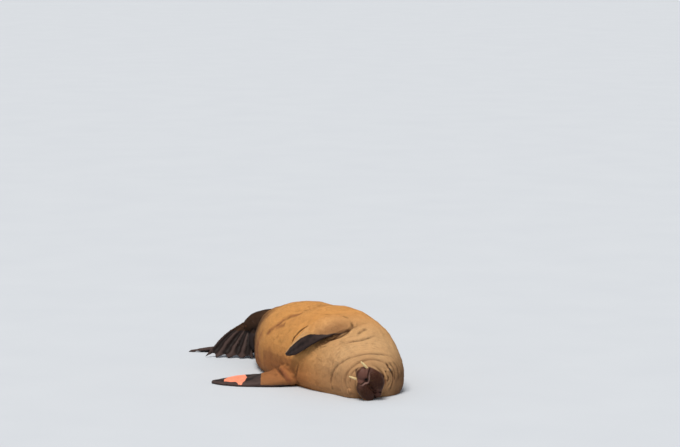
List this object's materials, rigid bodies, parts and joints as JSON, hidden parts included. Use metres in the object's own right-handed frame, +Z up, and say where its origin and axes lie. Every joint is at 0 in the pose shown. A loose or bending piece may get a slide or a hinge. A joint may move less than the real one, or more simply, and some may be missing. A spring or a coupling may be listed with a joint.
{
  "type": "walrus",
  "caption": "Young walrus lying on its back and left side, with a broad bristled muzzle, short tusks, paddle-shaped fore flippers and fan-shaped hind flippers.",
  "frame": {"origin": "on the floor, under the middle of the animal's bounding box", "axes": "+Z up from the floor; -Y towards the head and +Y towards the hind flippers, along the body; the belly faces -X and up, and the spread left fore flipper reaches to -X"},
  "size_m": [1.2852, 2.6566, 0.5797],
  "materials": {
    "muzzle": "satin",
    "lower_jaw": "satin",
    "head": "matte",
    "right_eye": "gloss",
    "left_eye": "gloss",
    "right_tusk": "satin",
    "left_tusk": "satin",
    "neck": "matte",
    "chest": "matte",
    "belly": "matte",
    "hips": "matte",
    "tail": "matte",
    "left_fore_flipper": "matte",
    "right_fore_flipper": "matte",
    "left_hind_flipper": "satin",
    "right_hind_flipper": "satin"
  },
  "bodies": {
    "root": {"muzzle": "muzzle", "lower_jaw": "lower_jaw", "head": "head", "right_eye": "right_eye", "left_eye": "left_eye", "right_tusk": "right_tusk", "left_tusk": "left_tusk", "neck": "neck", "chest": "chest", "belly": "belly", "hips": "hips", "tail": "tail", "left_fore_flipper": "left_fore_flipper", "right_fore_flipper": "right_fore_flipper", "left_hind_flipper": "left_hind_flipper", "right_hind_flipper": "right_hind_flipper"}
  },
  "joints": []
}
